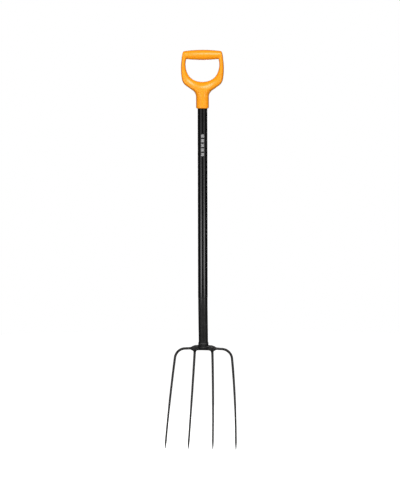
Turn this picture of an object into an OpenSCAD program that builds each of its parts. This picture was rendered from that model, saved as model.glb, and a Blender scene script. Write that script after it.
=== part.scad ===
// Long-handled fork with four slender round tines, a bent tubular shaft and a D-shaped handle.
// Millimetres. +Z is up, -Y is the front, the side the tines curve towards.
// The origin is on the shaft's centre line at the underside of the grip bar, where a wall hook
// carries the fork. The tine tips point down.

/* [Overall] */
// full height, from the top of the grip bar to the tine tips
overall_h = 1228; // [900:1:1400]

/* [Handle] */
// diameter of the grip bar at its middle
grip_d = 31; // [24:0.5:36]
// radius of the long arc that makes the grip bar barrel-shaped
grip_crown_r = 430; // [250:10:900]
// width across the two top corners of the handle
handle_top_w = 119; // [100:0.5:130]
// widest width across the two arms
handle_w = 132; // [110:0.2:150]
// depth below the grip's underside where the arms are widest
widest_drop = 26; // [10:1:40]
// width of the hand opening
opening_w = 104.6; // [90:0.2:115]
// height of the hand opening
opening_h = 66.7; // [55:0.1:80]
// radius of the opening's two side arcs
opening_side_r = 62; // [50:1:80]
// radius of the opening's bottom arc
opening_bottom_r = 68; // [50:1:90]
// width of the bevel around the opening
opening_bevel = 3; // [0:0.5:5]
// front-to-back depth of the arms
arm_depth = 28; // [20:0.5:36]
// radius of the arms' outer edges, seen from above
arm_edge_r = 9; // [2:0.5:12]
// radius of the handle's lower outer corners
yoke_corner_r = 31.5; // [20:0.5:45]
// angle of the yoke's lower slopes above horizontal
yoke_slope = 35; // [20:1:60]
// radius of the hollow curves that run into the neck
yoke_fillet_r = 25; // [10:1:45]
// outside diameter of the neck
neck_d = 39.3; // [34:0.1:46]
// how far the neck's lower end is below the grip's underside
neck_drop = 148.5; // [120:0.5:180]
// how far the tube goes up into the neck
socket_depth = 55; // [30:1:70]
// radius of the rounded lip at the neck's lower end
neck_lip_r = 3; // [1:0.5:5]

/* [Handle screw] */
// height of the screw above the neck's lower end
screw_h = 27; // [15:1:45]
// diameter of the screw's head
screw_head_d = 8; // [6:0.5:10]
// diameter of the screw's shank
screw_shank_d = 4; // [3:0.5:6]

/* [Shaft] */
// outside diameter of the shaft over its plastic sleeve
shaft_d = 30; // [25:0.5:36]
// thickness of the plastic sleeve
sleeve_wall = 0.4; // [0.2:0.1:1.5]
// wall thickness of the steel tube
tube_wall = 1.5; // [1:0.1:3]
// height above the tips where the tube starts to bend back
bend_h = 456; // [400:1:520]
// angle of the bend
bend_angle = 5.5; // [0:0.5:12]
// radius of the bend, to the tube's centre line
bend_r = 312; // [150:1:600]
// bare tube left between the sleeve's end and the bend
sleeve_gap = 7; // [2:1:30]

/* [Crown] */
// height above the tips of the crown's top face
crown_top_h = 312; // [280:1:360]
// width of the crown
crown_w = 76; // [60:1:100]
// width of the crown's flat top
crown_top_w = 56; // [40:1:80]
// height of the crown
crown_h = 16; // [12:0.5:24]
// height of the crown's slanted shoulders
crown_shoulder = 7.5; // [3:0.5:10]
// thickness of the crown beside the shaft
crown_t = 15; // [10:0.5:24]
// thickness of the crown at its two ends
crown_end_t = 9.6; // [7.5:0.1:14]
// diameter of the round boss that the tube stands on
boss_d = 32.4; // [31:0.2:38]
// height of the crown's arched underside at its middle
crown_arch = 1.5; // [0.5:0.5:4]

/* [Tines] */
// diameter of a tine at its root
tine_root_d = 7.8; // [5:0.1:10]
// diameter of a tine just above its point
tine_end_d = 5.8; // [4:0.1:8]
// length of the point
point_len = 22; // [10:1:50]
// distance of an inner tine from the centre line at the crown
inner_root_x = 27.5; // [15:0.5:35]
// how much an inner tine bows outward on its way to the tip, as a share of its spread
inner_bow = 0.18; // [0:0.01:0.4]
// distance of an inner tine's tip from the centre line
inner_tip_x = 38.2; // [20:0.1:50]
// distance of an outer tine's tip from the centre line
outer_tip_x = 110; // [80:0.5:130]
// depth of an outer tine's root below the crown's top
outer_root_drop = 10; // [9:0.5:13]
// straight length of an outer tine next to the crown
outer_straight = 19.9; // [5:0.1:35]
// downward slope of that straight length
outer_dip = 2.6; // [0:0.1:10]
// radius of the outer tines' bend
outer_bend_r = 33.5; // [20:0.5:60]
// angle of the outer tines' bend
outer_bend = 81; // [60:1:88]
// how far forward of the crown the tips reach
dish = 88; // [0:1:120]
// forward lean of the tines a little below the crown
tine_lean = 11; // [0:0.5:15]

/* [Nodes] */
// the part to draw

/* [Hidden] */

$fn = 64;
over = 1;           // how far a cut runs past a face
fit_gap = 0.05;     // clearance between the tube and the handle's socket
weld_gap = 0.2;     // clearance between a tine and the weld around it

orange = [0.96, 0.58, 0.10];
gloss_black = [0.05, 0.05, 0.055];
satin_black = [0.11, 0.11, 0.115];
zinc = [0.55, 0.56, 0.58];

tip_z = grip_d - overall_h;
grip_z = grip_d / 2;
neck_r = neck_d / 2;
neck_z = -neck_drop;
socket_z = neck_z + socket_depth;
tube_r = shaft_d / 2 - sleeve_wall;
bore_r = tube_r - tube_wall;
screw_z = neck_z + screw_h;

// the bend, and the frame of the bent-back lower end: its origin is the centre of the crown's top
bend_z = tip_z + bend_h;
bent_y = bend_r * (1 - cos(bend_angle));
bent_z = bend_z - bend_r * sin(bend_angle);
head_z = tip_z + crown_top_h;
lower_len = (bent_z - head_z) / cos(bend_angle);
head_y = bent_y + lower_len * sin(bend_angle);

// moves a point from the lower end's frame to the fork's frame
function from_head(p) = [p.x,
    head_y + p.y * cos(bend_angle) - p.z * sin(bend_angle),
    head_z + p.y * sin(bend_angle) + p.z * cos(bend_angle)];

module at_head() {
    translate([0, head_y, head_z]) rotate([bend_angle, 0, 0]) children();
}

// draws a front view outline, x and z, as a plate of the given depth centred on y = 0
module front_plate(depth) {
    rotate([90, 0, 0]) translate([0, 0, -depth / 2]) linear_extrude(depth) children();
}

// a disc or cone with its axis along Y, from y0 to y1
module disc(x, z, y0, y1, r0, r1) {
    translate([x, y0, z]) rotate([-90, 0, 0]) cylinder(r1 = r0, r2 = r1, h = y1 - y0);
}

// ---- handle

outer_r = (pow(handle_top_w / 2 - handle_w / 2, 2) + pow(widest_drop + grip_z + 9, 2))
    / (handle_w - handle_top_w);
top_edge = grip_z + 9.7;
corner_z = -widest_drop - 26.8;
corner_x = handle_w / 2 - yoke_corner_r - 1.6;
slope_top = [corner_x + yoke_corner_r * sin(yoke_slope), corner_z - yoke_corner_r * cos(yoke_slope)];
fillet_x = neck_r + yoke_fillet_r;
slope_bottom_x = fillet_x - yoke_fillet_r * sin(yoke_slope);
slope_bottom_z = slope_top.y - (slope_top.x - slope_bottom_x) * tan(yoke_slope);
fillet_z = slope_bottom_z - yoke_fillet_r * cos(yoke_slope);

// both sides of a symmetrical shape
module both() {
    children();
    mirror([1, 0]) children();
}

// the handle's front outline without its opening
module yoke_outline() {
    intersection() {
        translate([handle_w / 2 - outer_r, -widest_drop]) circle(outer_r, $fn = 200);
        translate([outer_r - handle_w / 2, -widest_drop]) circle(outer_r, $fn = 200);
        translate([-handle_w / 2, corner_z]) square([handle_w, top_edge - corner_z]);
    }
    both() translate([corner_x, corner_z]) circle(yoke_corner_r);
    translate([-slope_top.x, slope_top.y]) square([2 * slope_top.x, corner_z - slope_top.y]);
    difference() {
        polygon([[-slope_top.x, slope_top.y], [slope_top.x, slope_top.y],
            [slope_bottom_x, slope_bottom_z], [neck_r, fillet_z],
            [-neck_r, fillet_z], [-slope_bottom_x, slope_bottom_z]]);
        both() translate([fillet_x, fillet_z]) circle(yoke_fillet_r);
    }
}

// the handle's side outline, y and z: narrow at the grip, wide at the neck
module yoke_side() {
    arm = arm_depth / 2;
    translate([0, grip_z - 1]) circle(11.4);
    polygon([[-11.4, grip_z - 1], [-arm, -grip_d / 2], [-arm, -opening_h + 12],
        [-neck_r, -opening_h - 18], [-neck_r, fillet_z], [neck_r, fillet_z],
        [neck_r, -opening_h - 18], [arm, -opening_h + 12], [arm, -grip_d / 2], [11.4, grip_z - 1]]);
}

// the handle seen from above: a bar with rounded ends
module yoke_plan() {
    w = handle_w / 2 - arm_edge_r;
    d = neck_r - arm_edge_r;
    square([2 * w, neck_d], center = true);
    square([handle_w, 2 * (arm_depth / 2 - arm_edge_r)], center = true);
    for (x = [-w, w], y = [-1, 1]) translate([x, y * (arm_depth / 2 - arm_edge_r)]) circle(arm_edge_r);
    intersection() {
        square([2 * w, neck_d], center = true);
        circle(handle_w / 2);
    }
}

// the space of the opening between y0 and y1, wider by w0 and w1 there
module opening_space(y0, y1, w0, w1) {
    side_x = opening_w / 2 - opening_side_r;
    side_z = -14;
    bottom_z = opening_bottom_r - opening_h;
    top_z = grip_z;
    intersection() {
        disc(side_x, side_z, y0, y1, opening_side_r + w0, opening_side_r + w1);
        disc(-side_x, side_z, y0, y1, opening_side_r + w0, opening_side_r + w1);
        disc(0, bottom_z, y0, y1, opening_bottom_r + w0, opening_bottom_r + w1);
        translate([-opening_w, y0, top_z - 2 * opening_w]) cube([2 * opening_w, y1 - y0, 2 * opening_w]);
    }
}

module grip_bar() {
    half = handle_top_w / 2 - 1;
    translate([0, 0, grip_z]) rotate([0, 90, 0]) rotate_extrude()
        intersection() {
            translate([grip_d / 2 - grip_crown_r, 0]) circle(grip_crown_r, $fn = 360);
            translate([0, -half]) square([grip_d, 2 * half]);
        }
}

module neck() {
    top = fillet_z + 12;
    translate([0, 0, neck_z]) rotate_extrude() {
        square([neck_r - neck_lip_r, top - neck_z]);
        translate([0, neck_lip_r]) square([neck_r, top - neck_z - neck_lip_r]);
        translate([neck_r - neck_lip_r, neck_lip_r]) circle(neck_lip_r);
    }
}

// the moulded handle: arms, yoke, barrel-shaped grip and the neck with its socket
module d_handle() {
    bevel_y = arm_depth / 2 - opening_bevel;
    color(orange) difference() {
        union() {
            difference() {
                intersection() {
                    front_plate(neck_d + 2 * over) yoke_outline();
                    translate([-handle_w, 0, 0]) rotate([90, 0, 90]) linear_extrude(2 * handle_w) yoke_side();
                    translate([0, 0, -2 * opening_w]) linear_extrude(3 * opening_w) yoke_plan();
                }
                opening_space(-neck_r - over, neck_r + over, 0, 0);
                opening_space(-neck_r - over, -bevel_y, opening_bevel + neck_r - arm_depth / 2 + over, 0);
                opening_space(bevel_y, neck_r + over, 0, opening_bevel + neck_r - arm_depth / 2 + over);
            }
            grip_bar();
            neck();
        }
        translate([0, 0, neck_z - over]) cylinder(r = tube_r + fit_gap, h = socket_depth + over);
        screw_space(fit_gap);
    }
}

// the room that the handle screw takes up, larger by gap
module screw_space(gap) {
    floor_y = neck_r - 2.2;
    translate([0, 0, screw_z]) rotate([-90, 0, 0]) {
        translate([0, 0, tube_r - tube_wall - over]) cylinder(d = screw_shank_d + 2 * gap, h = neck_d);
        translate([0, 0, floor_y]) cylinder(d = screw_head_d + 2 * gap, h = neck_r);
    }
}

// the self-tapping screw at the back that holds the handle on the tube
module handle_screw() {
    head_y0 = neck_r - 2.2;
    head_h = 2;
    socket_d = 3.4;
    shank_in = 6;
    color(zinc) translate([0, 0, screw_z]) rotate([-90, 0, 0]) difference() {
        union() {
            translate([0, 0, tube_r - shank_in]) cylinder(d = screw_shank_d, h = head_y0 - tube_r + shank_in);
            translate([0, 0, head_y0]) cylinder(d1 = screw_head_d, d2 = screw_head_d - 1.4, h = head_h);
            translate([0, 0, tube_r - shank_in - 2]) cylinder(d1 = 1, d2 = screw_shank_d, h = 2);
        }
        translate([0, 0, head_y0 + 0.6]) cylinder(d = socket_d, h = head_h, $fn = 6);
    }
}

// ---- shaft

// the bent tube's solid, of radius r, between the socket and the crown, with a faint band where the
// bend ends
module bent_bar(r) {
    band_h = 3;
    band_r = r + 0.1;
    translate([0, 0, bend_z]) cylinder(r = r, h = socket_z - bend_z);
    translate([0, bend_r, bend_z]) rotate([-90, 0, -90]) {
        rotate_extrude(angle = bend_angle) translate([bend_r, 0]) circle(r);
        rotate([0, 0, bend_angle]) translate([bend_r, 0, 0]) rotate([-90, 0, 0]) {
            cylinder(r = r, h = lower_len);
            translate([0, 0, -band_h / 2]) cylinder(r = band_r, h = band_h);
        }
    }
}

// the steel tube that runs from the neck to the crown, bent back near its lower end
module shaft_tube() {
    color(satin_black) difference() {
        bent_bar(tube_r);
        bent_bar(bore_r);
        translate([0, 0, screw_z]) rotate([-90, 0, 0]) cylinder(d = screw_shank_d + 2 * fit_gap, h = shaft_d);
    }
}

// the glossy plastic sleeve over the tube's straight length
module shaft_sleeve() {
    low = bend_z + sleeve_gap;
    color(gloss_black) translate([0, 0, low]) difference() {
        cylinder(d = shaft_d, h = neck_z - low);
        translate([0, 0, -over]) cylinder(r = tube_r + 0.02, h = neck_z - low + 2 * over);
    }
}

// the weld bead around the tube's foot
module weld_collar() {
    wide = boss_d / 2 - 0.3;
    inner = tube_r + 0.02;
    color(satin_black) at_head() rotate_extrude()
        polygon([[inner, 0], [wide - 0.7, 0], [wide - 0.1, 2.2], [wide, 4.4], [wide - 0.2, 6.8],
            [wide - 0.7, 9], [inner + 0.15, 11], [inner, 11]]);
}

// ---- head

// the forged crown: a tapered plate with sloping shoulders and a round boss under the tube
module crown() {
    w = crown_w / 2;
    t = crown_top_w / 2;
    arch_w = inner_root_x - tine_root_d;
    arch_r = (arch_w * arch_w + crown_arch * crown_arch) / (2 * crown_arch);
    color(satin_black) at_head() difference() {
        union() {
            intersection() {
                front_plate(crown_t) polygon([[-t, 0], [t, 0], [w, -crown_shoulder], [w, -crown_h + 0.5],
                    [inner_root_x + 7, -crown_h], [-inner_root_x - 7, -crown_h],
                    [-w, -crown_h + 0.5], [-w, -crown_shoulder]]);
                translate([0, 0, -crown_h - over]) linear_extrude(crown_h + 2 * over)
                    polygon([[-w, -crown_end_t / 2], [-boss_d / 2, -crown_t / 2], [boss_d / 2, -crown_t / 2],
                        [w, -crown_end_t / 2], [w, crown_end_t / 2], [boss_d / 2, crown_t / 2],
                        [-boss_d / 2, crown_t / 2], [-w, crown_end_t / 2]]);
            }
            translate([0, 0, -crown_h]) cylinder(d1 = boss_d - 4, d2 = boss_d, h = crown_h / 2);
            translate([0, 0, -crown_h / 2]) cylinder(d = boss_d, h = crown_h / 2);
        }
        disc(0, -crown_h + crown_arch - arch_r, -boss_d, boss_d, arch_r, arch_r);
    }
}

// the tines' common side curve: it leaves the crown along the bent tube, turns to the forward lean
// within a few centimetres, and from there swings further forward down to the tips
root = from_head([inner_root_x, 0, -crown_h]);
tine_long = root.z - tip_z;
turn_long = 14;
turn_slope = tan(tine_lean) + tan(bend_angle);
swing = 2 * (dish - tine_long * tan(tine_lean) + turn_slope * turn_long) / pow(tine_long, 2);
function side_y(z) = let (h = root.z - z)
    root.y - h * tan(tine_lean) - swing * h * h / 2 + turn_slope * turn_long * (1 - exp(-h / turn_long));

// stations along a tine: even ones down to the point, closer ones along the point
body_n = 26;
point_n = 8;
function stations(point_from) = concat(
    [for (i = [0 : body_n]) point_from * i / body_n],
    [for (i = [1 : point_n]) 1 - (1 - point_from) * pow(1 - i / point_n, 1.5)]);

// front view points, x and z, of an inner tine
function inner_front() = let (h = root.z - tip_z)
    [for (u = stations(1 - point_len / h))
        [inner_root_x + (inner_tip_x - inner_root_x) * u * (1 + inner_bow * (1 - u)), root.z - h * u]];

// front view points of an outer tine: a straight, a tight bend, and a long slight arc to the tip
outer_root = from_head([crown_w / 2, 0, -outer_root_drop]);
function outer_front() = let (
        bend0 = [outer_root.x + outer_straight * cos(outer_dip), outer_root.z - outer_straight * sin(outer_dip)],
        centre = [bend0.x - outer_bend_r * sin(outer_dip), bend0.y - outer_bend_r * cos(outer_dip)],
        turn_end = outer_dip + outer_bend,
        long0 = centre + outer_bend_r * [sin(turn_end), cos(turn_end)],
        lean0 = 90 - turn_end,
        chord = [outer_tip_x - long0.x, long0.y - tip_z],
        lean1 = 2 * atan(chord.x / chord.y) - lean0,
        long_r = chord.y / (sin(lean0) - sin(lean1)))
    concat(
        [for (i = [0 : 3]) [outer_root.x, outer_root.z]
            + outer_straight * i / 4 * [cos(outer_dip), -sin(outer_dip)]],
        [for (i = [0 : 15]) let (a = outer_dip + outer_bend * i / 16)
            centre + outer_bend_r * [sin(a), cos(a)]],
        [for (u = stations(1 - point_len / chord.y)) let (a = lean0 + (lean1 - lean0) * u)
            [long0.x + long_r * (cos(a) - cos(lean0)), long0.y + long_r * (sin(a) - sin(lean0))]]);

// a tine's radius at a height above the tips
function tine_r(h) = let (
        body = (tine_end_d + (tine_root_d - tine_end_d) * min(1, h / tine_long)) / 2)
    h >= point_len ? body : body * (0.12 + 0.88 * pow(max(0, h) / point_len, 0.55));

function unit(v) = v / norm(v);

// one tine from its front view points; root_dir is the direction in which it leaves the crown
module tine(front, root_dir) {
    sides = 16;
    last = len(front) - 1;
    path = [for (p = front) [p.x, side_y(p.y), p.y]];
    rings = [for (i = [0 : last]) let (
            along = i == 0 ? root_dir : unit(path[min(last, i + 1)] - path[i - 1]),
            back = unit([0, 1, 0] - along.y * along),
            side = cross(along, back))
        for (k = [0 : sides - 1]) let (a = 360 * k / sides)
            path[i] + tine_r(path[i].z - tip_z) * (cos(a) * back + sin(a) * side)];
    faces = concat(
        [[for (k = [0 : sides - 1]) k]],
        [for (i = [0 : last - 1], k = [0 : sides - 1]) let (a = i * sides + k, b = i * sides + (k + 1) % sides)
            each [[a, a + sides, b], [b, a + sides, b + sides]]],
        [[for (k = [sides - 1 : -1 : 0]) last * sides + k]]);
    color(satin_black) polyhedron(rings, faces);
}

root_down = [0, sin(bend_angle), -cos(bend_angle)];

module tine_inner_right() {
    tine(inner_front(), root_down);
}

module tine_inner_left() {
    mirror([1, 0, 0]) tine_inner_right();
}

module tine_outer_right() {
    tine(outer_front(), [1, 0, 0]);
}

module tine_outer_left() {
    mirror([1, 0, 0]) tine_outer_right();
}

// a weld fillet around a tine's root, its flat foot on the crown
module root_weld(foot_r, length) {
    hole = tine_root_d / 2 + weld_gap;
    rotate_extrude() polygon([[hole, 0], [foot_r, 0], [hole + (foot_r - hole) * 0.35, length * 0.4],
        [hole + 0.15, length], [hole, length]]);
}

// the four weld fillets that join the tines to the crown
module tine_welds() {
    color(satin_black) at_head() for (s = [-1, 1]) {
        translate([s * inner_root_x, 0, -crown_h]) rotate([180, 0, 0]) root_weld(6, 4.5);
        translate([s * crown_w / 2, 0, -outer_root_drop]) rotate([0, s * 90, 0]) root_weld(4.7, 4);
    }
}

d_handle();
handle_screw();
shaft_tube();
shaft_sleeve();
weld_collar();
crown();
tine_outer_left();
tine_inner_left();
tine_inner_right();
tine_outer_right();
tine_welds();
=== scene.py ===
"""Four-tined digging fork with a D handle, dressed for rendering. Lengths are millimetres in the CAD
frame, and metres for the camera, the floor and the lights. z = 0 is the underside of the grip bar,
+Z is up along the shaft, -Y is the front."""
import math

import bpy
import numpy as np
from mathutils import Matrix, Vector


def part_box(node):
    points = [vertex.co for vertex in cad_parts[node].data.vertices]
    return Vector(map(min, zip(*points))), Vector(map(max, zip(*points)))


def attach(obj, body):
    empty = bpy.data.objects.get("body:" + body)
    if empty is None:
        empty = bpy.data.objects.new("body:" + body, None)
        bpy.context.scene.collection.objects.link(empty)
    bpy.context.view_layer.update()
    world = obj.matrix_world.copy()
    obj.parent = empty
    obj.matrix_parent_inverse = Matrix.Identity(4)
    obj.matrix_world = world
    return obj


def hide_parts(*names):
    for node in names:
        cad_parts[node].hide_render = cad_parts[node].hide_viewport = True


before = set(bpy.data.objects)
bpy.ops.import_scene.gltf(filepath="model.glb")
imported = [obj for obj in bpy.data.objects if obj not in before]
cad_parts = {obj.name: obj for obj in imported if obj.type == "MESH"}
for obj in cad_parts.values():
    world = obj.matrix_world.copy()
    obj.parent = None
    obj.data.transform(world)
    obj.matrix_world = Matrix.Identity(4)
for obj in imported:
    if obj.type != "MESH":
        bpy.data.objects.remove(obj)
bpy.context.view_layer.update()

MM = 0.001

# ------------------------------------------------------------------ driving measures, as the CAD has them
SKIN = 0.03                                           # how far some surfaces stay inside the CAD's
GRIP_R = 15.5
GRIP_Z = GRIP_R
NECK_R = 19.65
NECK_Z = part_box("shaft_sleeve")[1].z / MM             # where the neck ends and the sleeve starts
SLEEVE_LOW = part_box("shaft_sleeve")[0].z / MM
SHAFT_R = 15.0
TUBE_R = 14.6

BEND_Z = SLEEVE_LOW - 7.0                             # the tube's bend: its start, radius and angle
BEND_R = 312.0
BEND_A = math.radians(5.5)

TIP_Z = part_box("tine_outer_left")[0].z / MM + 0.2
TIP_W = 220.0                                         # across the tips of the outer tines
HEAD_H = 312.0                                        # from the crown's top down to the tips
CROWN_W = 76.0
CROWN_H = 16.0
ROOT_DROP = 10.0                                      # outer tines leave this far under the crown's top
INNER_X = 27.5                                        # inner tines leave this far from the middle
TINE_ROOT_D = 7.8
TINE_END_D = 5.8
POINT = 22.0                                          # length of the tines' points

# the origin of the head's own frame is the foot of the bent tube, on the crown's top
HEAD_Z = TIP_Z + HEAD_H
BENT_Y = BEND_R * (1 - math.cos(BEND_A))
BENT_Z = BEND_Z - BEND_R * math.sin(BEND_A)
HEAD_Y = BENT_Y + (BENT_Z - HEAD_Z) * math.tan(BEND_A)


def from_head(p):
    """Points of the head's own frame, which is tilted with the lower tube, in the CAD frame."""
    p = np.asarray(p, float)
    c, s = math.cos(BEND_A), math.sin(BEND_A)
    y = HEAD_Y + p[..., 1] * c - p[..., 2] * s
    z = HEAD_Z + p[..., 1] * s + p[..., 2] * c
    return np.stack([p[..., 0], y, z], -1)


# ------------------------------------------------------------------ meshes made of rings
def add_mesh(name, points, faces, material):
    mesh = bpy.data.meshes.new(name)
    mesh.from_pydata((np.asarray(points, float) * MM).tolist(), [], [list(map(int, f)) for f in faces])
    mesh.update()
    mesh.validate()
    mesh.polygons.foreach_set("use_smooth", [True] * len(mesh.polygons))
    mesh.materials.append(material)
    obj = bpy.data.objects.new(name, mesh)
    bpy.context.scene.collection.objects.link(obj)
    return obj


def turns(k):
    """k even angles round a circle."""
    return np.arange(k) / k * 2 * math.pi


def ring(a, r, z):
    """Points round the z axis at the angles a; the radius r may differ from angle to angle."""
    return np.stack([r * np.cos(a), r * np.sin(a), z + 0 * a], -1)


def loop_faces(n, k, start=0):
    """Quads over n rings of k points, the last ring joined to the first."""
    j, i = np.divmod(np.arange(n * k), k)
    j2, i2 = (j + 1) % n, (i + 1) % k
    quads = np.stack([j * k + i, j * k + i2, j2 * k + i2, j2 * k + i], -1)
    return (quads + start).tolist()


def tube_mesh(rings):
    """Points and faces of a skin over rings, an array (n, k, 3), closed at both ends."""
    n, k = rings.shape[:2]
    faces = loop_faces(n, k)[:(n - 1) * k]
    faces.append(list(range(k))[::-1])
    faces.append([(n - 1) * k + i for i in range(k)])
    return rings.reshape(-1, 3), faces


def flipped(faces):
    return [f[::-1] for f in faces]


def sweep(path, radius, k, first=None):
    """Rings of k points round a path (n, 3), counted from the side towards +Y. radius is (n, 1) or
    (n, k), and first is the path's direction at its start where its own points don't give it."""
    path = np.asarray(path, float)
    t = np.gradient(path, axis=0)
    if first is not None:
        t[0] = first
    t /= np.linalg.norm(t, axis=1)[:, None]
    back = np.array([0, 1.0, 0])
    b = back - (t @ back)[:, None] * t
    b /= np.linalg.norm(b, axis=1)[:, None]
    s = np.cross(t, b)
    a = turns(k)[None, :, None]
    spokes = np.cos(a) * b[:, None] + np.sin(a) * s[:, None]
    return path[:, None] + radius[..., None] * spokes


def waver(seed, a, least, orders, size):
    """A slow seeded unevenness round a ring: one sine for each of the orders."""
    rng = np.random.default_rng(seed)
    return size * sum(rng.uniform(least, 1) * np.sin(a * j + rng.uniform(0, 6.28)) for j in orders)


# ------------------------------------------------------------------ meshes made of fields
def sample(grid, p):
    """Trilinear value of grid at index points p."""
    p = np.clip(p, 0, np.array(grid.shape) - 1.001)
    i = p.astype(int)
    t = p - i
    out = 0
    for corner in np.ndindex(2, 2, 2):
        weight = np.where(corner, t, 1 - t).prod(-1)
        out = out + weight * grid[tuple((i + corner).T)]
    return out


def cell_net(values):
    """One point for each grid cell that the surface crosses, in index units, and the quads between
    those points."""
    m = np.array(values.shape) - 1
    size = int(m.prod())
    total, count, quads = np.zeros((size, 3)), np.zeros(size), []
    for a in range(3):
        b, c = (a + 1) % 3, (a + 2) % 3
        low, high = [slice(None)] * 3, [slice(None)] * 3
        low[a], high[a] = slice(0, -1), slice(1, None)
        v0, v1 = values[tuple(low)], values[tuple(high)]
        edges = np.argwhere((v0 < 0) != (v1 < 0))
        v0, v1 = v0[tuple(edges.T)], v1[tuple(edges.T)]
        crossing = edges.astype(float)
        crossing[:, a] += v0 / (v0 - v1)
        cells = []
        for back_b, back_c in ((1, 1), (0, 1), (0, 0), (1, 0)):
            cell = edges.copy()
            cell[:, b] -= back_b
            cell[:, c] -= back_c
            cells.append((cell[:, 0] * m[1] + cell[:, 1]) * m[2] + cell[:, 2])
            np.add.at(total, cells[-1], crossing)
            np.add.at(count, cells[-1], 1)
        quad = np.stack(cells, -1)
        quad[v0 >= 0] = quad[v0 >= 0][:, ::-1]
        quads.append(quad)
    used = np.flatnonzero(count)
    index = -np.ones(size, int)
    index[used] = np.arange(len(used))
    return total[used] / count[used][:, None], index[np.concatenate(quads)]


def even_out(values, p, quads, rounds):
    """Moves points to the mean of their neighbours and back onto the surface, round after round."""
    ends = np.concatenate([quads[:, [i, (i + 1) % 4]] for i in range(4)])
    ends = np.unique(np.sort(ends, 1), axis=0)
    degree = np.bincount(ends.ravel(), minlength=len(p))[:, None]
    slopes = np.gradient(values, 1.0)
    for _ in range(rounds):
        mean = np.zeros_like(p)
        np.add.at(mean, ends[:, 0], p[ends[:, 1]])
        np.add.at(mean, ends[:, 1], p[ends[:, 0]])
        p = 0.5 * p + 0.5 * mean / degree
        for _ in range(2):
            slope = np.stack([sample(g, p) for g in slopes], -1)
            reach = sample(values, p) / np.maximum((slope ** 2).sum(-1), 1e-3)
            p = p - slope * reach[:, None]
    return p


def net(field, lo, hi, step, rounds):
    """Closed quad mesh of the surface where field(x, y, z) is 0; the field is negative inside."""
    axes = [np.arange(lo[i], hi[i] + step, step) for i in range(3)]
    values = field(*np.meshgrid(*axes, indexing="ij"))
    steepness = np.sqrt(sum(g ** 2 for g in np.gradient(values, step)))
    values = values / np.maximum(steepness, 0.3)
    points, quads = cell_net(values)
    points = even_out(values, points, quads, rounds)
    return points * step + np.array([axis[0] for axis in axes]), quads


def smin(a, b, k):
    """The union of two fields, with the corner between them filled over a width k."""
    h = np.clip(0.5 + 0.5 * (b - a) / k, 0, 1)
    return b * (1 - h) + a * h - k * h * (1 - h)


def smax(a, b, k):
    """The overlap of two fields, with its edge worn down over a width k."""
    return -smin(-a, -b, k)


def round_cut(a, b, r):
    """The overlap of two fields, with its edge rounded to a radius r."""
    a, b = a + r, b + r
    return np.minimum(np.maximum(a, b), 0) + np.hypot(np.maximum(a, 0), np.maximum(b, 0)) - r


def pillow(p, *shares):
    """0 on the surface whose cross sections are superellipses of power p; each share is 0 in the
    middle and 1 on the edge."""
    return sum(q ** p for q in shares) ** (1 / p) - 1


def ramp(x, lo, hi):
    """0 below lo, 1 above hi, smooth between."""
    t = np.clip((x - lo) / (hi - lo), 0, 1)
    return t * t * (3 - 2 * t)


def between(a, b, share):
    """a at share 0, b at share 1."""
    return a + (b - a) * share


# ------------------------------------------------------------------ node helpers
def map_range(tree, value, a, b, c, d, smooth=False):
    """A node that takes the range a to b to the range c to d, and stops at its ends."""
    n = tree.nodes.new("ShaderNodeMapRange")
    if smooth:
        n.interpolation_type = "SMOOTHSTEP"
    for socket, x in zip(("From Min", "From Max", "To Min", "To Max"), (a, b, c, d)):
        n.inputs[socket].default_value = x
    tree.links.new(value, n.inputs["Value"])
    return n.outputs[0]


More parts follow.
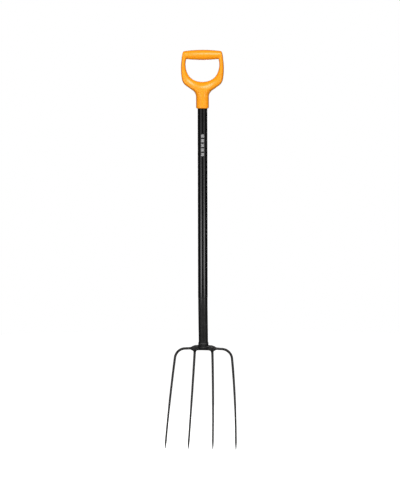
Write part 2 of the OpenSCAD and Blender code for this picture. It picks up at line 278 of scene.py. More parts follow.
class Shade:
    """A small builder of procedural materials around one Principled shader."""

    def __init__(self, name):
        self.material = bpy.data.materials.new(name)
        self.material.use_nodes = True
        self.tree = self.material.node_tree
        self.tree.nodes.clear()
        out = self.tree.nodes.new("ShaderNodeOutputMaterial")
        self.shader = self.tree.nodes.new("ShaderNodeBsdfPrincipled")
        self.tree.links.new(self.shader.outputs[0], out.inputs[0])
        self.place = self.tree.nodes.new("ShaderNodeTexCoord").outputs["Object"]

    def set(self, **values):
        """Plain values for the shader's inputs, with _ for each blank in a name."""
        for name, value in values.items():
            self.shader.inputs[name.replace("_", " ")].default_value = value

    def result(self, colour, roughness=None, normal=None):
        """The material, with these outputs as its colour, roughness and normal."""
        self.tree.links.new(colour, self.shader.inputs["Base Color"])
        if roughness is not None:
            self.tree.links.new(roughness, self.shader.inputs["Roughness"])
        if normal is not None:
            self.tree.links.new(normal, self.shader.inputs["Normal"])
        return self.material

    def scaled(self, scale):
        n = self.tree.nodes.new("ShaderNodeMapping")
        n.inputs["Scale"].default_value = scale
        self.tree.links.new(self.place, n.inputs[0])
        return n.outputs[0]

    def noise(self, scale, detail, rough=0.55, place=None, distort=0.0):
        n = self.tree.nodes.new("ShaderNodeTexNoise")
        n.inputs["Scale"].default_value = scale
        n.inputs["Detail"].default_value = detail
        n.inputs["Roughness"].default_value = rough
        n.inputs["Distortion"].default_value = distort
        self.tree.links.new(place or self.place, n.inputs["Vector"])
        return n.outputs["Fac"]

    def fit(self, value, a, b, c, d, smooth=False):
        return map_range(self.tree, value, a, b, c, d, smooth)

    def math(self, op, a, b=None):
        n = self.tree.nodes.new("ShaderNodeMath")
        n.operation = op
        for socket, x in zip(n.inputs, (a, b)):
            if isinstance(x, (int, float)):
                socket.default_value = x
            elif x is not None:
                self.tree.links.new(x, socket)
        return n.outputs[0]

    def near(self, value, middle, reach, edge):
        """1 within reach of the middle and 0 beyond, over an edge of twice the given width."""
        off = self.math("ABSOLUTE", self.math("SUBTRACT", value, middle))
        return self.fit(off, reach - edge, reach + edge, 1, 0)

    def mix(self, share, a, b):
        """From colour a at share 0 to colour b at share 1."""
        n = self.tree.nodes.new("ShaderNodeMix")
        n.data_type = "RGBA"
        for socket, x in ((n.inputs[0], share), (n.inputs[6], a), (n.inputs[7], b)):
            if isinstance(x, tuple):
                socket.default_value = (*x, 1.0)
            else:
                self.tree.links.new(x, socket)
        return n.outputs[2]

    def xyz(self):
        n = self.tree.nodes.new("ShaderNodeSeparateXYZ")
        self.tree.links.new(self.place, n.inputs[0])
        return n.outputs

    def facing(self):
        """0 where the surface faces the viewer, 1 where it is seen edge on."""
        n = self.tree.nodes.new("ShaderNodeLayerWeight")
        n.inputs["Blend"].default_value = 0.5
        return n.outputs["Facing"]

    def bump(self, height, distance, strength=1.0, normal=None):
        n = self.tree.nodes.new("ShaderNodeBump")
        n.inputs["Strength"].default_value = strength
        n.inputs["Distance"].default_value = distance
        self.tree.links.new(height, n.inputs["Height"])
        if normal is not None:
            self.tree.links.new(normal, n.inputs["Normal"])
        return n.outputs[0]


# ------------------------------------------------------------------ materials (colours are linear RGB)
GLOSS_COLOUR = (0.0023, 0.0023, 0.0024)
SATIN_COLOUR = (0.009, 0.009, 0.009)
SATIN_ROUGHER = 0.25                                  # than the gloss

# the mark on the sleeve: plain equal bars, one above the other, on the front only
MARK_TOP = -225.5                                     # height of its upper end
MARK_BARS = 5
MARK_PITCH = 14.1
MARK_BAR_SHARE = 0.7                                  # of the pitch
MARK_HALF_W = 4.2
MARK_X = 1.7
MARK_EDGE = 0.1


def gloss_share(s, z):
    """1 on the glossy length of the shaft, falling to 0 on the satin one across the sleeve's end."""
    return s.fit(z, (SLEEVE_LOW - 38.0) * MM, (SLEEVE_LOW + 34.0) * MM, 0, 1, True)


def orange_plastic():
    """Satin-gloss moulded plastic: faint flow mottling, fine grain, painted shade that deepens the colour
    where the surface is seen edge on, a mould parting line at y = 0."""
    s = Shade("orange_moulded_plastic")
    s.set(IOR=1.46)
    flow = s.noise(22, 4, 0.6, distort=0.6)
    fine = s.noise(900, 2, 0.5)
    y = s.xyz()[1]
    seam = s.fit(s.math("ABSOLUTE", y), 0.0, 0.5 * MM, 1, 0, True)
    colour = s.mix(s.fit(flow, 0.3, 0.7, 0, 1), (0.93, 0.312, 0.0026), (0.95, 0.324, 0.0030))
    colour = s.mix(s.math("MULTIPLY", seam, 0.35), colour, (0.80, 0.19, 0.003))
    # painted shade: the colour darkens towards the outline, where the surface is seen edge on
    colour = s.mix(s.fit(s.facing(), 0.35, 0.95, 0, 1, True), colour, (0.67, 0.176, 0.0022))
    rough = s.math("ADD", s.fit(flow, 0.3, 0.7, 0.33, 0.36), s.fit(fine, 0.3, 0.7, -0.015, 0.015))
    normal = s.bump(fine, 0.008 * MM)
    normal = s.bump(s.noise(160, 3, 0.6), 0.01 * MM, 0.4, normal)
    normal = s.bump(seam, 0.1 * MM, 0.8, normal)
    return s.result(colour, rough, normal)


def sleeve_mark(s, x, y, z):
    """1 on the bars of the mark, 0 beside them."""
    down = s.math("MULTIPLY", z, -1.0)
    cell = s.math("FRACT", s.math("DIVIDE", s.math("SUBTRACT", down, -MARK_TOP * MM), MARK_PITCH * MM))
    bar = s.near(cell, 0.5, MARK_BAR_SHARE / 2, 0.005)
    across = s.near(x, MARK_X * MM, MARK_HALF_W * MM, MARK_EDGE * MM)
    half_run = MARK_BARS * MARK_PITCH / 2
    run = s.near(down, (half_run - MARK_TOP) * MM, half_run * MM, MARK_EDGE * MM)
    front = s.fit(y, -1.0 * MM, 1.0 * MM, 1, 0)
    mark = bar
    for share in (across, run, front):
        mark = s.math("MULTIPLY", mark, share)
    return mark


def gloss_black():
    """Glossy black plastic skin, with faint lengthwise draw lines, fine speckle and the plain mark.
    Its gloss fades towards its lower end."""
    s = Shade("black_gloss_sleeve")
    s.set(IOR=1.48)
    x, y, z = s.xyz()
    draw = s.noise(60, 3, 0.6, s.scaled((14, 14, 0.15)))
    fine = s.noise(700, 2, 0.5)
    mark = sleeve_mark(s, x, y, z)
    share = gloss_share(s, z)
    colour = s.mix(s.fit(draw, 0.35, 0.65, 0, 1), (0.0016, 0.0016, 0.0017), (0.0030, 0.0030, 0.0031))
    colour = s.mix(share, SATIN_COLOUR, colour)
    colour = s.mix(mark, colour, (0.27, 0.27, 0.27))
    rough = s.math("ADD", s.fit(draw, 0.3, 0.7, 0.13, 0.2), s.math("MULTIPLY", mark, 0.25))
    rough = s.math("ADD", rough, s.fit(share, 0, 1, SATIN_ROUGHER, 0))
    normal = s.bump(draw, 0.05 * MM, 0.5)
    normal = s.bump(fine, 0.01 * MM, 0.4, normal)
    return s.result(colour, rough, normal)


def satin_black(name, base, rough, lumps=0.0, brown=0.0, meets_gloss=False):
    """Satin black coat on steel: orange-peel texture, soft mottling, lumps (mm) of the forging
    beneath; the brown of bare steel may show, and the coat may take up the sleeve's fading gloss."""
    s = Shade(name)
    s.set(IOR=1.5)
    mottle = s.noise(85, 5, 0.62)
    peel = s.noise(620, 3, 0.55)
    dark = (base * 0.75, base * 0.74, base * 0.73)
    light = (base * (1.45 + brown), base * 1.42, base * (1.38 - brown))
    colour = s.mix(s.fit(mottle, 0.3, 0.7, 0, 1), dark, light)
    coarse = s.fit(mottle, 0.3, 0.7, rough - 0.05, rough + 0.07)
    coarse = s.math("ADD", coarse, s.fit(peel, 0.3, 0.7, -0.03, 0.03))
    if meets_gloss:
        share = gloss_share(s, s.xyz()[2])
        colour = s.mix(share, colour, GLOSS_COLOUR)
        coarse = s.math("ADD", coarse, s.fit(share, 0, 1, 0, -SATIN_ROUGHER))
    normal = s.bump(peel, 0.05 * MM, 0.6)
    if lumps:
        normal = s.bump(s.noise(150, 4, 0.6), lumps * MM, 0.8, normal)
    return s.result(colour, coarse, normal)


def zinc():
    """Clouded zinc plating."""
    s = Shade("zinc_screw")
    s.set(Metallic=1.0)
    cloud = s.noise(500, 4, 0.6)
    colour = s.mix(cloud, (0.42, 0.42, 0.43), (0.66, 0.66, 0.65))
    normal = s.bump(s.noise(2500, 3, 0.6), 0.02 * MM, 0.6)
    return s.result(colour, s.fit(cloud, 0.3, 0.7, 0.26, 0.42), normal)


ORANGE = orange_plastic()
GLOSS = gloss_black()
TUBE = satin_black("satin_black_tube", 0.009, 0.40, meets_gloss=True)
CROWN = satin_black("satin_black_forging", 0.010, 0.46, lumps=0.6)
TINE = satin_black("satin_black_tine", 0.010, 0.40, lumps=0.2, brown=0.12)
WELD = satin_black("satin_black_weld", 0.010, 0.44, lumps=0.4)
ZINC = zinc()

# ------------------------------------------------------------------ handle
HANDLE_W = 132.0                                      # across the arms at their widest
WIDEST_Z = -26.0
GRIP_END_W = 119.0                                    # across the ends of the grip bar
GRIP_END_Z = GRIP_Z + 9.0
SIDE_SAG = (HANDLE_W - GRIP_END_W) / 2
SIDE_R = (SIDE_SAG ** 2 + (GRIP_END_Z - WIDEST_Z) ** 2) / (2 * SIDE_SAG)
SIDE_X = HANDLE_W / 2 - SIDE_R
CORNER_X = 32.46                                      # the lower corner arc runs on from the side arc
CORNER_Z = -52.8
CORNER_R = 31.4
CORNER_START = math.radians(-9.2)                     # direction from its centre to where they meet
SLOPE = math.radians(35.0)                            # of the yoke's lower edges
YOKE_FILLET_R = 25.0                                  # between those edges and the neck
ARM_TOP = 25.0                                        # the arms end here, inside the grip bar
OPENING_W = 104.6
OPENING_LOW_Z = -66.7
OPENING_SIDE_R = 62.0
OPENING_SIDE_Z = -14.0
OPENING_LOW_R = 68.0
YOKE_SPAN = (34.0, 64.0)                              # the arms become the yoke this far under z = 0,
NECK_SPAN = (78.0, 116.0)                             # and the yoke becomes the neck this far under it
ARM_HALF_DEPTH = 13.8                                 # front to back
ARM_EDGE_R = 8.2                                      # how far in the soft edges of the arms reach,
YOKE_INNER_EDGE_R = 18.7                              # of the yoke beside the opening,
YOKE_OUTER_EDGE_R = 10.7                              # and of the yoke's outer side
NECK_END_R = 3.0
GRIP_BARREL = 860.0                                   # the grip's radius is less by x squared over this
SCREW_Z = -121.5
PIT_R = 4.3                                           # the screw's counterbore,
PIT_Y = 17.4                                          # whose floor is here


def handle_outline(ax, z):
    """Distances outside the side arc and outside the whole outline, which is the side arc, the lower
    corner arc, the yoke's slope, a hollow fillet and the neck."""
    side = np.hypot(ax - SIDE_X, z - WIDEST_Z) - SIDE_R
    corner = np.hypot(ax - CORNER_X, z - CORNER_Z) - CORNER_R
    nx, nz = math.sin(SLOPE), -math.cos(SLOPE)
    slope = (ax - CORNER_X) * nx + (z - CORNER_Z) * nz - CORNER_R
    fillet_x = NECK_R + YOKE_FILLET_R
    fillet_z = CORNER_Z - (nx * (fillet_x - CORNER_X) - CORNER_R - YOKE_FILLET_R) / nz
    fillet = YOKE_FILLET_R - np.hypot(ax - fillet_x, z - fillet_z)
    # each piece holds for its own range of angles round the corner's centre or the fillet's
    corner_turn = np.arctan2(z - CORNER_Z, ax - CORNER_X)
    fillet_turn = np.arctan2(z - fillet_z, ax - fillet_x)
    out = np.where(corner_turn > CORNER_START, side, corner)
    out = np.where(corner_turn < SLOPE - math.pi / 2, slope, out)
    out = np.where(fillet_turn > SLOPE + math.pi / 2, fillet, out)
    out = np.where(z < fillet_z, ax - NECK_R, out)
    return side, smax(out, z - ARM_TOP, 4.0)


def handle_opening(ax, z):
    """Distance outside the hand opening, which has two side arcs and a lower arc."""
    side_x = OPENING_W / 2 - OPENING_SIDE_R
    low_z = OPENING_LOW_Z + OPENING_LOW_R
    side = np.hypot(ax - side_x, z - OPENING_SIDE_Z) - OPENING_SIDE_R
    return smax(side, np.hypot(ax, z - low_z) - OPENING_LOW_R, 5.0)


def handle_half_depth(ax, z, neck):
    """Half the depth of arms, yoke and neck: slimmer beside the grip, swollen in the yoke's middle."""
    slimmer = 2.2 * ramp(z, -22.0, 14.0)
    swollen = 5.6 * ramp(-z, 58.0, 90.0) * np.exp(-(ax / 27.0) ** 2)
    return between(ARM_HALF_DEPTH - slimmer + swollen, NECK_R, neck)


def handle_field(x, y, z):
    """The moulding: arms, yoke and neck as one soft-edged slab, the grip bar, the screw's pit."""
    ax, ay = np.abs(x), np.abs(y)
    side, out = handle_outline(ax, z)
    yoke = ramp(-z, *YOKE_SPAN)
    neck = ramp(-z, *NECK_SPAN)
    inner_edge = between(ARM_EDGE_R, YOKE_INNER_EDGE_R, yoke)
    outer_edge = between(between(ARM_EDGE_R, YOKE_OUTER_EDGE_R, yoke), NECK_R, neck)
    from_opening = np.clip(1 - handle_opening(ax, z) / inner_edge, 0, None)
    from_outline = np.clip(1 + out / outer_edge, 0, None)
    from_middle = ay / handle_half_depth(ax, z, neck)
    # the slab's cross section is slightly square, and the neck's a true circle
    body = 9.0 * pillow(between(2.25, 2.0, neck), from_middle, from_opening, from_outline)
    body = round_cut(body, NECK_Z - z, NECK_END_R)
    grip = np.hypot(y, z - GRIP_Z) - (GRIP_R - SKIN - ax ** 2 / GRIP_BARREL)
    grip = smax(grip, side, 3.5)
    pit = np.maximum(np.hypot(x, z - SCREW_Z) - PIT_R, PIT_Y - y)
    return smax(smin(body, grip, 2.2), -pit, 0.7)


# ------------------------------------------------------------------ handle screw
def screw():
    """A domed head with a six-lobed recess, made along z and then turned out of the neck's back."""
    a = turns(60)
    seat_y = PIT_Y + 0.05
    shank_r, head_r = 1.98, 4.0
    # radius and height along the shank and the head's rim, then over the dome
    outline = [(shank_r, -8.5), (shank_r, -0.3), (head_r - 0.3, 0.0), (head_r - 0.05, 0.15)]
    outline += [(head_r - inward, h) for inward, h in ((0.0, 0.5), (0.15, 1.1), (0.6, 1.6), (1.3, 1.9))]
    rings = [ring(a, r, h) for r, h in outline]
    # the recess: its worn rim, its wall and the middle of its floor
    lobes = 1.55 + 0.28 * np.cos(6 * a)
    rings += [ring(a, lobes + wider, h) for wider, h in ((0.12, 1.98), (0.0, 1.85), (-0.05, 0.7))]
    rings.append(ring(a, 0.3, 0.55))
    points, faces = tube_mesh(np.array(rings))
    placed = np.stack([points[:, 0], seat_y + points[:, 2], SCREW_Z + points[:, 1]], -1)
    return add_mesh("handle_screw_detail", placed, flipped(faces), ZINC)


handle_step = 0.85
handle_points, handle_faces = net(handle_field, (-70, -23, -152), (70, 23, 35), handle_step, 4)
handle = add_mesh("handle_moulding", handle_points, handle_faces, ORANGE)
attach(handle, "root")
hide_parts("d_handle")

handle_screw = screw()
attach(handle_screw, "root")
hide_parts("handle_screw")


# ------------------------------------------------------------------ shaft
def sleeve():
    """The skin, from its inner wall out over the top, down the outside and round the worn lower edge."""
    a = turns(96)
    inner_r = TUBE_R + SKIN
    top = NECK_Z - 0.02
    wave = 0.031                                      # radians for each mm of the skin's slight waves
    rings = [ring(a, inner_r, top)]
    for z in (top, NECK_Z - 0.15, *np.linspace(NECK_Z - 0.5, SLEEVE_LOW + 0.9, 90)):
        rings.append(ring(a, SHAFT_R - SKIN * (0.5 + 0.5 * math.sin(z * wave)), z))
    for up, inward in ((0.6, 0.04), (0.3, 0.12), (0.1, 0.22), (0.0, 0.33)):
        rings.append(ring(a, SHAFT_R - inward, SLEEVE_LOW + up))
    rings.append(ring(a, inner_r, SLEEVE_LOW))
    rings = np.array(rings)
    faces = flipped(loop_faces(*rings.shape[:2]))
    return add_mesh("shaft_gloss_sleeve", rings.reshape(-1, 3), faces, GLOSS)


def tube():
    """The tube, straight from inside the handle to the bend, bent back, then straight to the crown."""
    in_socket = 50.0
    straight = [NECK_Z + in_socket, NECK_Z - 2.0]
    straight += list(np.linspace(NECK_Z - 10.0, SLEEVE_LOW + 3.0, 30))
    straight += list(np.linspace(SLEEVE_LOW, BEND_Z + 0.5, 4))
    path = [(0, 0, z) for z in straight]
    for q in np.linspace(0, BEND_A, 25):
        path.append((0, BEND_R * (1 - math.cos(q)), BEND_Z - BEND_R * math.sin(q)))
    bent, foot = np.array(path[-1]), np.array([0, HEAD_Y, HEAD_Z])
    path += [tuple(bent + (foot - bent) * u) for u in np.linspace(0, 1, 31)[1:]]
    rings = sweep(path, np.full((len(path), 1), TUBE_R), 96)
    return add_mesh("shaft_tube_body", *tube_mesh(rings), TUBE)


def collar():
    """The weld bead round the tube's foot: a rounded rope with overlapping ripples."""
    a = turns(240)
    bulge, half_h, sunk, ripples = 1.6, 5.4, 0.25, 64
    drift = waver(3, a, 0.2, range(2, 6), 0.09)
    ripple = np.abs(np.sin(a * ripples / 2 + 0.6 * drift))
    rings = []
    for q in turns(24):
        out = bulge * (1 + 0.10 * (ripple - 0.6) + 0.18 * drift) * math.cos(q)
        up = half_h * (1 + 0.5 * drift) * (1 + 0.05 * ripple) * math.sin(q)
        rings.append(ring(a, TUBE_R - sunk + out, half_h + up))
    rings = np.array(rings)
    faces = loop_faces(*rings.shape[:2])
    return add_mesh("weld_collar_bead", from_head(rings.reshape(-1, 3)), faces, WELD)


shaft_sleeve = sleeve()
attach(shaft_sleeve, "root")
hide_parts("shaft_sleeve")

shaft_tube = tube()
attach(shaft_tube, "root")
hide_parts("shaft_tube")

weld_collar = collar()
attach(weld_collar, "root")
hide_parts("weld_collar")

# ------------------------------------------------------------------ crown, in the head's own frame
SHOULDER_X = 21.0                                     # beyond this the top droops, by x squared times
DROOP = 0.021
ARCH_H = 0.8                                          # the underside is hollowed by this in the middle
CROWN_HALF_DEPTH = 7.5
CROWN_END_HALF_DEPTH = 4.8
BOSS_R = 16.0
BOSS_H = 10.5
STUB_R = 3.95                                         # where the forging runs out into the inner tines,
OUTER_STUB_R = 4.0                                    # and into the outer ones


def crown_field(x, y, z):
    """The forging: a drooping plate, a round boss, and the starts of the four tines."""
    ax, ay = np.abs(x), np.abs(y)
    uneven = 0.25 * np.sin(x * 0.55 + 1.3) * np.sin(z * 0.7 + 0.4)
    uneven = uneven + 0.18 * np.sin(x * 0.9 - y * 0.8 + 2.0)
    beyond = np.clip(ax - SHOULDER_X, 0, None)
    top = z - 0.5 + 0.15 * uneven + DROOP * beyond ** 2
    top = top / np.sqrt(1 + (2 * DROOP * beyond) ** 2)
    arch = -CROWN_H - z + ARCH_H * np.exp(-(ax / 19.0) ** 4)
    out = smax(top, smax(ax - CROWN_W / 2, arch, 3.0), 2.5)
    deep = between(CROWN_HALF_DEPTH, CROWN_END_HALF_DEPTH, ramp(ax, 14.0, 37.0)) + 0.35 * uneven
    plate = 4.0 * pillow(3.0, ay / deep, np.clip(1 + out / 3.6, 0, None))
    boss_side = np.hypot(x, y) - (BOSS_R - 0.10 * np.clip(-z, 0, None)) - 0.2 * uneven
    boss = round_cut(boss_side, np.maximum(z + 0.1, -z - BOSS_H), 4.5)
    body = smin(plate, boss, 3.5)
    # the inner tines flare out of the underside, the outer ones leave the ends
    inner = np.hypot(ax - INNER_X, y) - (STUB_R - 0.06 * np.clip(-CROWN_H - z, 0, None))
    inner = np.maximum(inner, np.maximum(z + 8.0, -z - 22.0))
    outer = np.hypot(z + ROOT_DROP, y) - (OUTER_STUB_R - 0.05 * np.clip(ax - CROWN_W / 2, 0, None))
    outer = np.maximum(outer, np.maximum(30.0 - ax, ax - 46.0))
    return smin(smin(body, inner, 8.0), outer, 3.0)


crown_step = 0.55
crown_points, crown_faces = net(crown_field, (-48, -20, -26), (48, 20, 4), crown_step, 3)
crown = add_mesh("crown_forging", from_head(crown_points), crown_faces, CROWN)
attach(crown, "root")
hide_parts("crown")

# ------------------------------------------------------------------ tines
ROOT = from_head([INNER_X, 0, -CROWN_H])              # where an inner tine leaves the crown
OUTER_ROOT = from_head([CROWN_W / 2, 0, -ROOT_DROP])
TINE_LONG = ROOT[2] - TIP_Z
LEAN = math.tan(math.radians(11.0))                   # the side curve: forward lean below the root,
TURN = 14.0                                           # the height over which the lean comes in,
DISH = 87.8                                           # how far forward the tips are
TURN_SLOPE = LEAN + math.tan(BEND_A)
SWING = 2 * (DISH - TINE_LONG * LEAN + TURN_SLOPE * TURN) / TINE_LONG ** 2
INNER_SPREAD = 10.7                                   # inner tips stand this much wider than their roots
INNER_BOW = 0.18
OUTER_DIP = math.radians(2.6)                         # outer tines: start nearly level,
OUTER_STRAIGHT = 19.9
OUTER_BEND = math.radians(81.0)                       # then turn down
OUTER_BEND_R = 33.5


def side_y(z):
    """Front-to-back place of every tine at a height: one forward curve for all four."""
    h = ROOT[2] - z
    return ROOT[1] - h * LEAN - SWING * h * h / 2 + TURN_SLOPE * TURN * (1 - np.exp(-h / TURN))


def tine_radius(h):
    """Radius at a height above the tip, kept a little under the CAD's."""
    kept, blunt = 0.985, 0.12
    body = between(TINE_END_D, TINE_ROOT_D, np.clip(h / TINE_LONG, 0, 1)) / 2
    point = between(blunt, 1.0, (np.clip(h, 0, POINT) / POINT) ** 0.55)
    return kept * np.where(h >= POINT, body, body * point)


def stations(start, n=100, m=30):
    """Even steps down to where the point starts, closer and closer ones along it."""
    i = np.arange(1, m + 1) / m
    return np.concatenate([np.linspace(0, start, n), 1 - (1 - start) * (1 - i) ** 1.6])


def inner_path():
    u = stations(1 - POINT / TINE_LONG)
    x = INNER_X + INNER_SPREAD * u * (1 + INNER_BOW * (1 - u))
    z = ROOT[2] - TINE_LONG * u
    return np.stack([x, side_y(z), z], -1)


def outer_path():
    """Level and straight, an arc down, then one long slack arc to the tip. In the x and z plane."""
    def up_from(a):
        """The direction that is turned by a from straight up towards the outside."""
        return np.array([math.sin(a), math.cos(a)])

    ahead = up_from(math.pi / 2 + OUTER_DIP)
    root = OUTER_ROOT[[0, 2]]
    points = [root + OUTER_STRAIGHT * i / 14 * ahead for i in range(14)]
    centre = root + OUTER_STRAIGHT * ahead - OUTER_BEND_R * up_from(OUTER_DIP)
    for i in range(45):
        points.append(centre + OUTER_BEND_R * up_from(OUTER_DIP + OUTER_BEND * i / 44))
    long_start = points.pop()
    lean_start = math.pi / 2 - OUTER_DIP - OUTER_BEND
    wide, high = TIP_W / 2 - long_start[0], long_start[1] - TIP_Z
    lean_end = 2 * math.atan(wide / high) - lean_start
    long_r = high / (math.sin(lean_start) - math.sin(lean_end))
    for u in stations(1 - POINT / high, 90):
        a = lean_start + (lean_end - lean_start) * u
        step = (math.cos(a) - math.cos(lean_start), math.sin(a) - math.sin(lean_start))
        points.append(long_start + long_r * np.array(step))
    x, z = np.array(points).T
    return np.stack([x, side_y(z), z], -1)


def tine(name, node, path, first, side, seed):
    """A round rod along a path, with seeded hammer marks; side is 1 for the right, -1 for the left."""
    rng = np.random.default_rng(seed)
    a = turns(32)[None]
    along = np.concatenate([[0], np.cumsum(np.linalg.norm(np.diff(path, axis=0), axis=1))])[:, None]
    hammer = 0
    for m in range(4):
        strength, length, phase = rng.uniform(0.3, 1), rng.uniform(9, 40), rng.uniform(0, 6.28)
        hammer = hammer + strength * np.sin(along / length + m * a + phase)
    radius = tine_radius(path[:, 2] - TIP_Z)[:, None] * (1 + 0.006 * hammer)
    points, faces = tube_mesh(sweep(path, radius, 32, first))
    if side < 0:
        points = points * np.array([-1, 1, 1])
        faces = flipped(faces)
    rod = add_mesh(name, points, faces, TINE)
    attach(rod, "root")
    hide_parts(node)


DOWN = np.array([0, math.sin(BEND_A), -math.cos(BEND_A)])
OUTWARD = np.array([1.0, 0, 0])
tine("tine_rod_inner_right", "tine_inner_right", inner_path(), DOWN, 1, 11)
tine("tine_rod_inner_left", "tine_inner_left", inner_path(), DOWN, -1, 12)
tine("tine_rod_outer_right", "tine_outer_right", outer_path(), OUTWARD, 1, 13)
tine("tine_rod_outer_left", "tine_outer_left", outer_path(), OUTWARD, -1, 14)


# ------------------------------------------------------------------ welds at the roots of the tines
def root_weld(seed, side, under):
    """Rings of one rippled fillet, in the head's own frame: under the crown for an inner tine, at its
    end for an outer one."""
    a = turns(72)
    rod_r, core_r, sunk = 3.92, 3.6, 0.8
    length, wide, deep = (7.5, 3.0, 2.1) if under else (5.5, 1.2, 1.0)
    drift = waver(seed, a, 0.3, range(2, 5), 0.08)
    ripple = np.abs(np.sin(a * 11 + drift * 3))

    def round_rod(u, rx, ry):
        h = length * u - sunk
        if under:
            return np.stack([side * INNER_X + rx * np.cos(a), ry * np.sin(a), -CROWN_H - h + 0 * a], -1)
        return np.stack([side * (CROWN_W / 2 + h) + 0 * a, ry * np.cos(a), rx * np.sin(a) - ROOT_DROP], -1)

    rings = []
    for u in np.linspace(0, 1, 10):
        flare = (1 - u) ** 2
        rough = (0.16 * ripple + 0.5 * drift) * math.sin(math.pi * min(1, u + 0.25))
        rings.append(round_rod(u, rod_r + wide * flare + rough, rod_r + deep * flare + rough))
    # back along the rod, just under its surface
    rings += [round_rod(u, core_r, core_r) for u in (1.0, 0.0)]
    return np.array(rings)


def root_welds():
    points, faces = [], []
    for i, (side, under) in enumerate(((1, True), (-1, True), (1, False), (-1, False))):
        rings = root_weld(30 + i, side, under)
        quads = loop_faces(*rings.shape[:2], start=sum(map(len, points)))
        faces += flipped(quads) if under or side < 0 else quads
        points.append(rings.reshape(-1, 3))
    return add_mesh("tine_root_welds", from_head(np.concatenate(points)), faces, WELD)


tine_welds = root_welds()
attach(tine_welds, "root")
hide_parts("tine_welds")

# ------------------------------------------------------------------ camera (metres)
AZIMUTH = math.radians(6.5)                           # it stands slightly to the right,
CAM_DIST = 5.5
CAM_Z = -0.060                                        # with its eye near the handle,
PITCH = math.radians(5.454)                           # and looks down
ROLL = math.radians(-0.12)
SENSOR = 36.0                                         # of the longer side of the picture, in mm
LENS = 128.448
SHIFT = -0.00554


def camera():
    data = bpy.data.cameras.new("cam")
    data.sensor_width = SENSOR
    data.lens = LENS
    data.shift_x = SHIFT
    data.clip_start = 0.1
    data.clip_end = 60.0
    obj = bpy.data.objects.new("cam", data)
    bpy.context.scene.collection.objects.link(obj)
    bpy.context.scene.camera = obj
    obj.location = (CAM_DIST * math.sin(AZIMUTH), -CAM_DIST * math.cos(AZIMUTH), CAM_Z)
    look = Matrix.Rotation(AZIMUTH, 4, "Z") @ Matrix.Rotation(math.pi / 2 - PITCH, 4, "X")
    obj.rotation_euler = (look @ Matrix.Rotation(ROLL, 4, "Z")).to_euler()


camera()

# ------------------------------------------------------------------ floor and world (metres)
FLOOR_Z = TIP_Z * MM - 0.35
FLOOR_R = 5.0


def studio_floor():
    """A pale round floor that shines softly by itself and lights nothing else."""
    s = Shade("pale_floor")
    s.set(Roughness=0.9, Specular_IOR_Level=0.1)
    s.set(Emission_Color=(1, 1, 1, 1), Emission_Strength=0.77)
    colour = s.mix(s.noise(3, 3), (0.78, 0.78, 0.78), (0.81, 0.81, 0.81))
    mesh = bpy.data.meshes.new("studio_floor")
    rim = [(FLOOR_R * math.cos(a), FLOOR_R * math.sin(a), FLOOR_Z) for a in turns(96)]
    mesh.from_pydata(rim, [], [list(range(len(rim)))])
    mesh.materials.append(s.result(colour))
    obj = bpy.data.objects.new("studio_floor", mesh)
    bpy.context.scene.collection.objects.link(obj)
    obj.visible_glossy = False
    obj.visible_diffuse = False
    return obj


floor = studio_floor()


def studio_world():
    """A white backdrop for the camera, dim surroundings for reflections, a soft fill for the rest."""
    world = bpy.data.worlds.new("studio")
    bpy.context.scene.world = world
    world.use_nodes = True
    tree = world.node_tree
    tree.nodes.clear()
    out = tree.nodes.new("ShaderNodeOutputWorld")
    rays = tree.nodes.new("ShaderNodeLightPath")
    direction = tree.nodes.new("ShaderNodeTexCoord")
    frontness = tree.nodes.new("ShaderNodeVectorMath")
    frontness.operation = "DOT_PRODUCT"
    frontness.inputs[1].default_value = (math.sin(AZIMUTH), -math.cos(AZIMUTH), 0)
    tree.links.new(direction.outputs["Generated"], frontness.inputs[0])

    def background(back, front):
        n = tree.nodes.new("ShaderNodeBackground")
        n.inputs[0].default_value = (1, 1, 1, 1)
        tree.links.new(map_range(tree, frontness.outputs["Value"], -1, 1, back, front), n.inputs[1])
        return n.outputs[0]

    def choose(share, a, b):
        n = tree.nodes.new("ShaderNodeMixShader")
        for socket, x in zip(n.inputs, (share, a, b)):
            tree.links.new(x, socket)
        return n.outputs[0]

    dim = background(0.01, 0.12)
    fill = background(0.26, 0.44)
    white = background(1.0, 1.0)
    unseen = choose(rays.outputs["Is Glossy Ray"], fill, dim)
    tree.links.new(choose(rays.outputs["Is Camera Ray"], unseen, white), out.inputs[0])


studio_world()

# ------------------------------------------------------------------ lights (metres)
BOX_DIST = 2.6
SIDE_BOX_W = 1.3
# radiance of the side boxes at some heights, straight between them
SIDE_GLOW = [(-1.20, 0.0), (-1.10, 1.2), (-1.03, 4.0), (-0.98, 5.6), (-0.75, 5.0), (-0.62, 2.6),
             (-0.50, 1.7), (-0.30, 1.0), (-0.05, 0.5)]


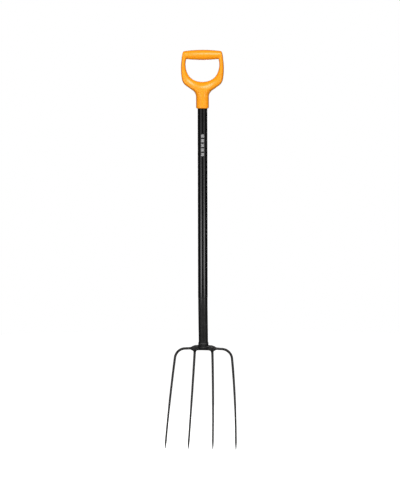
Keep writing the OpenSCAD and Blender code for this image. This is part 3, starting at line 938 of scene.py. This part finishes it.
def light_box(name, azimuth, dist, z, width, height, radiance, look_z=None):
    """A soft area light; the azimuth in degrees counts from the camera's side, and the light looks
    at the shaft's line at look_z, or straight across."""
    light = bpy.data.lights.new(name, "AREA")
    light.shape = "RECTANGLE"
    light.size = width
    light.size_y = height
    light.energy = math.pi * width * height * radiance
    obj = bpy.data.objects.new(name, light)
    bpy.context.scene.collection.objects.link(obj)
    a = math.radians(azimuth) + AZIMUTH
    obj.location = (dist * math.sin(a), -dist * math.cos(a), z)
    target = Vector((0, 0, z if look_z is None else look_z))
    obj.rotation_euler = (target - obj.location).to_track_quat("-Z", "Y").to_euler()
    obj.visible_camera = False
    return light


def vary_with_height(light, heights, values, mean):
    """Makes a light's radiance follow the height of the place on it, straight between the values."""
    light.use_nodes = True
    tree = light.node_tree
    emission = next(n for n in tree.nodes if n.type == "EMISSION")
    place = tree.nodes.new("ShaderNodeNewGeometry")
    parts = tree.nodes.new("ShaderNodeSeparateXYZ")
    tree.links.new(place.outputs["Position"], parts.inputs[0])
    curve = tree.nodes.new("ShaderNodeFloatCurve")
    tree.links.new(map_range(tree, parts.outputs[2], heights[0], heights[-1], 0, 1), curve.inputs["Value"])
    line = curve.mapping.curves[0]
    while len(line.points) < len(heights):
        line.points.new(0.5, 0.5)
    shares = zip((heights - heights[0]) / (heights[-1] - heights[0]), values / values.max())
    for point, share in zip(line.points, shares):
        point.location = share
        point.handle_type = "VECTOR"
    curve.mapping.update()
    scale = tree.nodes.new("ShaderNodeMath")
    scale.operation = "MULTIPLY"
    scale.inputs[1].default_value = float(values.max() / mean)
    tree.links.new(curve.outputs[0], scale.inputs[0])
    tree.links.new(scale.outputs[0], emission.inputs["Strength"])


def side_box(name, azimuth):
    """A tall box whose glow changes from top to bottom. Its power is that of the mean, so that the
    renderer gives it its due share of samples."""
    heights, values = np.array(SIDE_GLOW).T
    high = heights[-1] - heights[0]
    mean = float((np.diff(heights) * (values[1:] + values[:-1])).sum() / 2 / high)
    middle = float(heights[0] + heights[-1]) / 2
    light = light_box(name, azimuth, BOX_DIST, middle, SIDE_BOX_W, high, mean)
    vary_with_height(light, heights, values, mean)


side_box("soft_left", -38)
side_box("soft_right", 38)
light_box("soft_top", azimuth=0, dist=2.2, z=1.2, width=1.5, height=0.85, radiance=14.0, look_z=-0.3)
light_box("soft_back", azimuth=180, dist=BOX_DIST, z=-0.4, width=0.8, height=1.6, radiance=3.2)

# ------------------------------------------------------------------ view
view = bpy.context.scene.view_settings
view.view_transform = "Standard"
view.look = "None"
view.exposure = 0.0
view.gamma = 1.0

bpy.context.view_layer.update()
